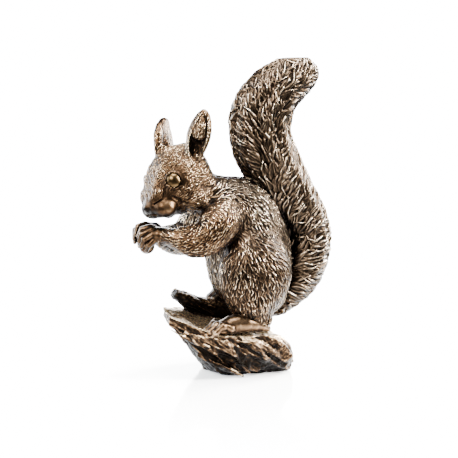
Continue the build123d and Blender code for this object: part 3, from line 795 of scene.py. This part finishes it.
def sculpt_paws(grid, field, owner):
    """Both paws, with fingers that hang over the hazelnut."""
    for side, name in ((1, "left_paw"), (-1, "right_paw")):
        strokes = [(NUT_CENTRE + np.array(points) * (1, side, 1), radii) for points, radii in PAW_STROKES]
        field = grid.fuse_strokes(field, owner, strokes, NODES.index(name), PAW_BLEND)
    return field


def sculpt_feet(grid, field, owner):
    """Both feet, each with a rounded instep and jointed toes."""
    for side, name, shift in ((1, "left_foot", (0, 0, 0)), (-1, "right_foot", RIGHT_FOOT_SHIFT)):
        points, radii = TOE_STROKE
        toes = [(np.array(points) + (ahead, across, 0), radii) for ahead, across in TOE_PLACES]
        strokes = [INSTEP_STROKE] + toes
        strokes = [(np.array(points) * (1, side, 1) + shift, radii) for points, radii in strokes]
        field = grid.fuse_strokes(field, owner, strokes, NODES.index(name), FOOT_BLEND)
    return field


def sculpt_ankles(grid, field):
    """Thighs that come down over the heels."""
    points, radii = ANKLE_STROKE
    for side, shift in ((1, (0, 0, 0)), (-1, RIGHT_FOOT_SHIFT)):
        grid.stroke(field, np.array(points) * (1, side, 1) + shift, radii, ANKLE_BLEND)


def spread_labels(quads, label, kept, rings):
    """The labels that a mesh keeps, carried some rings further, and each point's share of that way."""
    spread = np.where(np.isin(label, kept), label, -1)
    share = np.zeros(len(label))
    for ring in range(rings):
        best = np.repeat(spread[quads].max(1), 4)
        grown = np.full(len(label), -1)
        grown[quads.ravel()[best >= 0]] = best[best >= 0]
        share[(spread < 0) & (grown >= 0)] = (ring + 1) / rings
        spread = np.where(spread < 0, grown, spread)
    return spread, share


def rim_groups(quads):
    """The open edges of a piece, in groups that hang together."""
    sides = np.stack([quads, np.roll(quads, -1, 1)], -1).reshape(-1, 2)
    keys = np.sort(sides, 1)
    keys = keys[:, 0] * (quads.max() + 1) + keys[:, 1]
    _, first, uses = np.unique(keys, return_index=True, return_counts=True)
    rim = sides[first[uses == 1]]
    groups = {}
    for start, end in rim.tolist():
        home = groups.get(start, [[]])
        other = groups.get(end, [[]])
        if home is not other:
            home[0].extend(other[0])
            for edge in other[0]:
                groups[edge[0]] = groups[edge[1]] = home
        home[0].append((start, end))
        groups[start] = groups[end] = home
    return list({id(home): home[0] for home in groups.values()}.values())


def build_piece(name, points, normals, tone, warmth, quads, material):
    """A closed piece that keeps the whole surface's normals, with its open edges closed inside the body."""
    places, ways, values, warms = [points], [normals], [tone], [warmth]
    triangles = []
    for group in rim_groups(quads):
        rim = np.array(group)
        middle = points[rim[:, 0]].mean(0)
        radius = np.linalg.norm(points[rim[:, 0]] - middle, axis=1).mean()
        inward = -unit(normals[rim[:, 0]].mean(0))
        centre = len(points) + len(places) - 1
        places.append((middle + inward * radius * CAP_SHARE)[None])
        ways.append(inward[None])
        values.append(np.zeros(1))
        warms.append(np.zeros(1))
        triangles.append(np.stack([rim[:, 1], rim[:, 0], np.full(len(rim), centre)], 1))
    corners = np.concatenate([quads.ravel()] + [group.ravel() for group in triangles])
    sizes = np.concatenate([np.full(len(quads), 4)] + [np.full(len(group), 3) for group in triangles])
    mesh = bpy.data.meshes.new(name)
    places = np.concatenate(places)
    mesh.vertices.add(len(places))
    mesh.vertices.foreach_set("co", (places * MM).astype(np.float32).ravel())
    mesh.loops.add(len(corners))
    mesh.loops.foreach_set("vertex_index", corners.astype(np.int32))
    mesh.polygons.add(len(sizes))
    mesh.polygons.foreach_set("loop_start", (np.cumsum(sizes) - sizes).astype(np.int32))
    mesh.polygons.foreach_set("use_smooth", np.ones(len(sizes), bool))
    mesh.update(calc_edges=True)
    for label, shares in (("wear_and_painted_light", values), ("warmth", warms)):
        layer = mesh.attributes.new(label, "FLOAT", "POINT")
        layer.data.foreach_set("value", np.concatenate(shares).astype(np.float32))
    mesh.normals_split_custom_set_from_vertices(np.concatenate(ways).tolist())
    mesh.materials.append(material)
    piece = bpy.data.objects.new(name, mesh)
    bpy.context.scene.collection.objects.link(piece)
    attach(piece, "root")
    return piece


def tone_ramp(nodes, tones):
    """A ramp through some places and colours."""
    ramp = nodes.new("ShaderNodeValToRGB")
    while len(ramp.color_ramp.elements) < len(tones):
        ramp.color_ramp.elements.new(0.5)
    for element, (position, tone) in zip(ramp.color_ramp.elements, tones):
        element.position = position
        element.color = (*tone, 1)
    return ramp


def attribute(nodes, name):
    """A value that the mesh carries at its points."""
    layer = nodes.new("ShaderNodeAttribute")
    layer.attribute_name = name
    return layer.outputs["Fac"]


def bronze(name, roughness):
    """Patinated bronze: dark in its hollows and where shade is painted, rubbed bright on its edges and where
    light is painted, with fine mottling.
    """
    material = bpy.data.materials.new(name)
    material.use_nodes = True
    nodes, links = material.node_tree.nodes, material.node_tree.links
    shader = nodes["Principled BSDF"]
    shader.inputs["Metallic"].default_value = 1.0
    place = nodes.new("ShaderNodeTexCoord")
    mottle = nodes.new("ShaderNodeTexNoise")
    mottle.inputs["Scale"].default_value = 350.0
    mottle.inputs["Detail"].default_value = 6.0
    links.new(place.outputs["Object"], mottle.inputs["Vector"])
    spread = nodes.new("ShaderNodeMath")
    spread.operation = "MULTIPLY_ADD"
    spread.inputs[1].default_value = 0.4
    spread.inputs[2].default_value = -0.2
    links.new(mottle.outputs["Fac"], spread.inputs[0])
    wear_and_painted_light_value = nodes.new("ShaderNodeMath")
    wear_and_painted_light_value.operation = "ADD"
    links.new(attribute(nodes, "wear_and_painted_light"), wear_and_painted_light_value.inputs[0])
    links.new(spread.outputs["Value"], wear_and_painted_light_value.inputs[1])
    mix = nodes.new("ShaderNodeMix")
    mix.data_type = "RGBA"
    links.new(attribute(nodes, "warmth"), mix.inputs["Factor"])
    for tones, socket in ((GREY_TONES, mix.inputs[6]), (WARM_TONES, mix.inputs[7])):
        ramp = tone_ramp(nodes, tones)
        links.new(wear_and_painted_light_value.outputs["Value"], ramp.inputs["Fac"])
        links.new(ramp.outputs["Color"], socket)
    links.new(mix.outputs[2], shader.inputs["Base Color"])
    gloss = nodes.new("ShaderNodeMapRange")
    gloss.inputs["To Min"].default_value = roughness[0]
    gloss.inputs["To Max"].default_value = roughness[1]
    links.new(wear_and_painted_light_value.outputs["Value"], gloss.inputs["Value"])
    links.new(gloss.outputs["Result"], shader.inputs["Roughness"])
    grain = nodes.new("ShaderNodeTexNoise")
    grain.inputs["Scale"].default_value = 2600.0
    grain.inputs["Detail"].default_value = 3.0
    links.new(place.outputs["Object"], grain.inputs["Vector"])
    bump = nodes.new("ShaderNodeBump")
    bump.inputs["Strength"].default_value = 0.25
    bump.inputs["Distance"].default_value = 0.0002
    links.new(grain.outputs["Fac"], bump.inputs["Height"])
    links.new(bump.outputs["Normal"], shader.inputs["Normal"])
    return material


def plain_metal(name, color, roughness):
    """An even metal with a little mottling, for turned and polished pieces."""
    material = bpy.data.materials.new(name)
    material.use_nodes = True
    nodes, links = material.node_tree.nodes, material.node_tree.links
    shader = nodes["Principled BSDF"]
    shader.inputs["Metallic"].default_value = 1.0
    shader.inputs["Roughness"].default_value = roughness
    place = nodes.new("ShaderNodeTexCoord")
    mottle = nodes.new("ShaderNodeTexNoise")
    mottle.inputs["Scale"].default_value = 300.0
    links.new(place.outputs["Object"], mottle.inputs["Vector"])
    ramp = tone_ramp(nodes, [(0.3, tuple(share * 0.6 for share in color)), (0.7, color)])
    links.new(mottle.outputs["Fac"], ramp.inputs["Fac"])
    links.new(ramp.outputs["Color"], shader.inputs["Base Color"])
    return material


def within_cad(points):
    """Points held inside the box of the solids."""
    return np.clip(points, np.array(cad_box[0]) / MM, np.array(cad_box[1]) / MM)


def place_piece(name, surface, faces, material):
    """Builds the piece over a node from faces of a surface: its points, normals, tones and warmths."""
    used, where = np.unique(faces, return_inverse=True)
    parts = [values[used] for values in surface]
    piece = build_piece("cast_" + name, *parts, where.reshape(-1, 4), material)
    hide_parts(name)


def place_bead(name, path, radii, material):
    """Builds the smooth piece over a node from one stroke."""
    grid = Grid(*node_box(name), FINE_CELL)
    field = np.full(grid.shape, BAND, np.float32)
    grid.stroke(field, path, radii, BEAD_BLEND)
    points, quads, normals = grid.surface(field)
    tone = np.full(len(points), BEAD_TONE)
    warmth = np.full(len(points), BEAD_WARMTH)
    place_piece(name, (points, normals, tone, warmth), quads, material)


def bark_at(point):
    """Ridges along the log's grain."""
    long, deep, wide = BARK_LENGTHS
    place = Vector((point @ GRAIN / long, point[1] / deep, point @ ACROSS_GRAIN / wide))
    return noise.ridged_multi_fractal(place, 1.0, 2.1, 3, 1.0, 2.0)


NUT_CENTRE = np.mean(node_box("hazelnut"), 0)

# The squirrel, on a coarse grid for the body and fine ones for the head, paws and feet
body_grid = Grid(*node_box(*BODY_BLENDS), BODY_CELL)
head_grid = Grid(*node_box("head", "left_ear", "right_ear"), FINE_CELL)
paw_grid = Grid(*node_box("left_paw", "right_paw"), FINE_CELL)
foot_grid = Grid(*node_box("left_foot", "right_foot"), FINE_CELL)

parts = []
for grid, blends, kept, rings in (
        (body_grid, BODY_BLENDS,
         ("torso", "left_haunch", "right_haunch", "left_arm", "right_arm", "tail"), BODY_RINGS),
        (head_grid, HEAD_BLENDS, ("head", "left_ear", "right_ear"), FINE_RINGS),
        (paw_grid, PAW_BLENDS, ("left_paw", "right_paw"), FINE_RINGS),
        (foot_grid, FOOT_BLENDS, ("left_foot", "right_foot"), FINE_RINGS)):
    field, owner = grid.fuse(blends)
    if grid is body_grid:
        sculpt_ankles(grid, field)
    if grid is head_grid:
        sculpt_face(grid, field)
        sculpt_ears(grid, field)
    if grid is paw_grid:
        field = sculpt_paws(grid, field, owner)
    if grid is foot_grid:
        field = sculpt_feet(grid, field, owner)
    points, quads, normals = grid.surface(field)
    label = grid.sample(owner, points)
    spread, share = spread_labels(quads, label, [NODES.index(name) for name in kept], rings)
    quads = quads[(spread[quads] >= 0).all(1)]
    used, where = np.unique(quads, return_inverse=True)
    parts.append((points[used], where.reshape(-1, 4), normals[used], label[used], spread[used], share[used]))

counts = np.cumsum([0] + [len(part[0]) for part in parts])
points = np.concatenate([part[0] for part in parts])
quads = np.concatenate([part[1] + count for part, count in zip(parts, counts)])
normals = np.concatenate([part[2] for part in parts])
label = np.concatenate([part[3] for part in parts])
quad_label = np.concatenate([part[4] for part in parts])[quads].max(1)
overlap = np.concatenate([part[5] for part in parts])

# Its coat, which is sunk by most of its height so that the locks end near the solids
groups = np.array([COAT_GROUPS.get(name, 0) for name in NODES])[label]
coat = Coat(points, normals, groups)
sink = np.zeros(len(points))
for name, (spacing, length, width, height, strands) in COATS.items():
    members = np.nonzero(label == NODES.index(name))[0]
    flow_of = tail_flow if name == "tail" else body_flow
    keep_share = fur_share_of_head if name == "head" else None
    coat.grow(members, flow_of, spacing, length, width, height, strands, keep_share)
    sink[members] = height * SINK_SHARE
    if name == "head":
        sink[members] *= fur_share_of_head(points[members])
for group in np.unique(groups):
    members = groups == group
    sink[members] = even_out(sink[members], points[members], SINK_CELL, SINK_ROUNDS)
sink += overlap * OVERLAP_DIVE
points = points + normals * (coat.relief - sink)[:, None] + coat.push * (coat.relief * PUSH_SHARE)[:, None]
points = within_cad(points)
normals = point_normals(points, quads)

# Its patina, with painted shade on undersides and painted shade and highlight spots on the head
shift = np.array([TONE_SHIFTS.get(name, 0) for name in NODES])[label]
heights = [COATS.get(name, BARE_COAT)[3] for name in NODES]
reach = np.array([WEAR_REACH + WEAR_REACH_SHARE * height for height in heights])[label]
tone = shift + wear_tone(points, normals, quads, reach, BROAD_TIMES * reach)
# Painted shade: darker on surfaces that face downward
tone = tone - UNDERSIDE_PAINTED_SHADE * smooth_step(*UNDERSIDE_SHADE_RANGE, -normals[:, 2])
local = (points - HEAD_CENTRE) @ HEAD_AXES.T
# Painted shade and a painted highlight at spots on the head
for place, size, change in SHADE_AND_HIGHLIGHT_SPOTS:
    for side in (1, -1):
        gap = np.linalg.norm(local - np.array(place) * (side, 1, 1), axis=1)
        tone += change * (1 - smooth_step(size * SPOT_CORE_SHARE, size, gap))
warm_shares = np.array([WARM_SHARES.get(name, 0) for name in NODES])[label]
warmth = even_out(warm_shares, points, WARMTH_CELL, WARMTH_ROUNDS)
fur = bronze("fur_bronze", FUR_ROUGHNESS)
for number in np.unique(quad_label):
    faces = quads[quad_label == number]
    place_piece(NODES[number], (points, normals, tone, warmth), faces, fur)

# Hazelnut
nut = bronze("polished_bronze", NUT_ROUGHNESS)
place_bead("hazelnut", NUT_CENTRE + np.array(NUT_STROKE[0]), NUT_STROKE[1], nut)

# Log
bark = bronze("log_bronze", LOG_ROUGHNESS)
log_grid = Grid(*node_box(*LOG_BLENDS), BODY_CELL)
field, owner = log_grid.fuse(LOG_BLENDS)
for groove, radii in LOG_HOLLOWS:
    log_grid.stroke(field, groove, radii, HOLLOW_BLEND, cut=True)
for ridge, radii in LOG_RIDGES:
    log_grid.stroke(field, ridge, radii, RIDGE_BLEND)
points, quads, normals = log_grid.surface(field)
label = log_grid.sample(owner, points)
rough = np.array([bark_at(point) for point in points])
rough = np.clip((rough - rough.min()) / (np.percentile(rough, 98) - rough.min()), 0, 1)
lumps = np.array([noise.fractal(Vector(point / LUMP_LENGTH), 0.8, 2.0, 3) for point in points])
specks = np.array([noise.fractal(Vector(point / SPECK_LENGTH), 0.7, 2.0, 2) for point in points])
flat = smooth_step(*FLAT_RANGE, normals[:, 2])
end = smooth_step(*END_RANGE, points[:, 0])
bare = np.maximum(flat, end)
relief = (rough * BARK_HEIGHT - BARK_SINK) * (1 - flat) * (1 - END_SHARE * end)
relief = relief + LUMP_HEIGHT * lumps - LOG_SINK + (SPECK_HEIGHTS[0] + SPECK_HEIGHTS[1] * bare) * specks
points = within_cad(points + normals * relief[:, None])
normals = point_normals(points, quads)
# Patina, with painted light on upward flats
tone = LOG_TONE + wear_tone(points, normals, quads, *LOG_WEAR_REACHES) + FLAT_PAINTED_LIGHT * flat
# Painted shade: darker on surfaces that face downward
tone = tone - LOG_UNDERSIDE_PAINTED_SHADE * smooth_step(*LOG_UNDERSIDE_SHADE_RANGE, -normals[:, 2])
tone = tone - SLAB_TONE * (label == NODES.index("log_slab"))
# Painted shade: darker in and around the hollows
for groove, radii in LOG_HOLLOWS:
    for i in range(len(groove) - 1):
        gap = capsule(points, np.array(groove[i]), np.array(groove[i + 1]), radii[i], radii[i + 1])
        tone -= HOLLOW_PAINTED_SHADE * (1 - smooth_step(*HOLLOW_SHADE_RANGE, gap))
warmth = LOG_WARMTHS[0] + LOG_WARMTHS[1] * smooth_step(*LOG_WARM_RANGE, tone)
quad_label = label[quads[:, 0]]
for number in np.unique(quad_label):
    faces = quads[quad_label == number]
    place_piece(NODES[number], (points, normals, tone, warmth), faces, bark)

# Eyes
eye_metal = plain_metal("eye_bronze", EYE_COLOR, EYE_ROUGHNESS)
eye, _, _, over = eye_axes()
for name, side in (("left_eye", 1), ("right_eye", -1)):
    place_bead(name, on_head([eye, eye + over * LID_LIFT], side), [EYE_RADIUS] * 2, eye_metal)

# Solids that are shown as they are
brass = plain_metal("dowel_brass", BRASS_COLOR, BRASS_ROUGHNESS)
for name in ("neck_dowel", "tail_dowel", "arm_dowels", "haunch_dowels", "foot_pins", "slab_pins"):
    node = frame["nodes"][name]
    node.data.materials.clear()
    node.data.materials.append(brass)

# Camera
back = Vector((math.sin(VIEW_AZIMUTH) * math.cos(VIEW_ELEVATION),
               -math.cos(VIEW_AZIMUTH) * math.cos(VIEW_ELEVATION), math.sin(VIEW_ELEVATION)))
right = Vector((math.cos(VIEW_AZIMUTH), math.sin(VIEW_AZIMUTH), 0))
up = back.cross(right)
target = Vector(VIEW_TARGET) - right * VIEW_SHIFT_RIGHT - up * VIEW_SHIFT_UP
camera_data = bpy.data.cameras.new("camera")
camera_data.sensor_fit = "HORIZONTAL"
camera_data.angle = VIEW_ANGLE
camera_data.clip_start = CLIP_START * MM
camera = bpy.data.objects.new("camera", camera_data)
camera.location = (target + back * VIEW_DISTANCE) * MM
camera.rotation_euler = back.to_track_quat("Z", "Y").to_euler()
bpy.context.scene.collection.objects.link(camera)
bpy.context.scene.camera = camera


def area_light(name, place, size, power, color=(1, 1, 1)):
    """A soft box that faces the figurine and is not seen itself."""
    lamp = bpy.data.lights.new(name, "AREA")
    lamp.shape = "RECTANGLE"
    lamp.size, lamp.size_y = size[0] * MM, size[1] * MM
    lamp.energy = power
    lamp.color = color
    light = bpy.data.objects.new(name, lamp)
    light.location = Vector(place) * MM
    light.rotation_euler = (Vector(place) - Vector(LIGHT_TARGET)).to_track_quat("Z", "Y").to_euler()
    light.visible_camera = False
    bpy.context.scene.collection.objects.link(light)


area_light("backdrop", (220, 640, 150), (600, 300), 16.0)
area_light("cool_rear", (-420, 520, 170), (320, 320), 16.0, (0.86, 0.93, 1.0))
area_light("key", (-420, -420, 430), (240, 240), 22.0, (1.0, 0.98, 0.95))
area_light("cool", (-560, 60, 180), (160, 360), 11.0, (0.84, 0.92, 1.0))
area_light("side", (480, -260, 300), (140, 320), 30.0, (1.0, 0.98, 0.94))
area_light("rear", (520, 190, 300), (200, 300), 40.0, (1.0, 0.97, 0.92))
area_light("top", (40, -60, 620), (420, 300), 30.0)

# Floor, which fades into the white background
floor_mesh = bpy.data.meshes.new("floor")
floor_mesh.from_pydata([(-1, -1, 0), (1, -1, 0), (1, 1, 0), (-1, 1, 0)], [], [(0, 1, 2, 3)])
floor = bpy.data.objects.new("floor", floor_mesh)
bpy.context.scene.collection.objects.link(floor)
floor_paint = bpy.data.materials.new("floor_paint")
floor_paint.use_nodes = True
floor_nodes, floor_links = floor_paint.node_tree.nodes, floor_paint.node_tree.links
floor_shader = floor_nodes["Principled BSDF"]
floor_shader.inputs["Base Color"].default_value = (0.92, 0.92, 0.92, 1)
floor_shader.inputs["Roughness"].default_value = 0.12
floor_place = floor_nodes.new("ShaderNodeTexCoord")
floor_reach = floor_nodes.new("ShaderNodeVectorMath")
floor_reach.operation = "LENGTH"
floor_fade = floor_nodes.new("ShaderNodeMapRange")
floor_fade.inputs["From Min"].default_value = 0.05
floor_fade.inputs["From Max"].default_value = 0.2
floor_fade.inputs["To Min"].default_value = 1.0
floor_fade.inputs["To Max"].default_value = 0.0
floor_links.new(floor_place.outputs["Object"], floor_reach.inputs[0])
floor_links.new(floor_reach.outputs["Value"], floor_fade.inputs["Value"])
floor_links.new(floor_fade.outputs["Result"], floor_shader.inputs["Alpha"])
floor_mesh.materials.append(floor_paint)

# Background: white to the camera, dim as light
world = bpy.data.worlds.new("studio")
world.use_nodes = True
sky = world.node_tree
sky_light = sky.nodes["Background"]
sky_light.inputs["Color"].default_value = (0.95, 0.97, 1, 1)
rays = sky.nodes.new("ShaderNodeLightPath")
strength = sky.nodes.new("ShaderNodeMapRange")
strength.inputs["To Min"].default_value = 0.12
strength.inputs["To Max"].default_value = 20.0
sky.links.new(rays.outputs["Is Camera Ray"], strength.inputs["Value"])
sky.links.new(strength.outputs["Result"], sky_light.inputs["Strength"])
bpy.context.scene.world = world
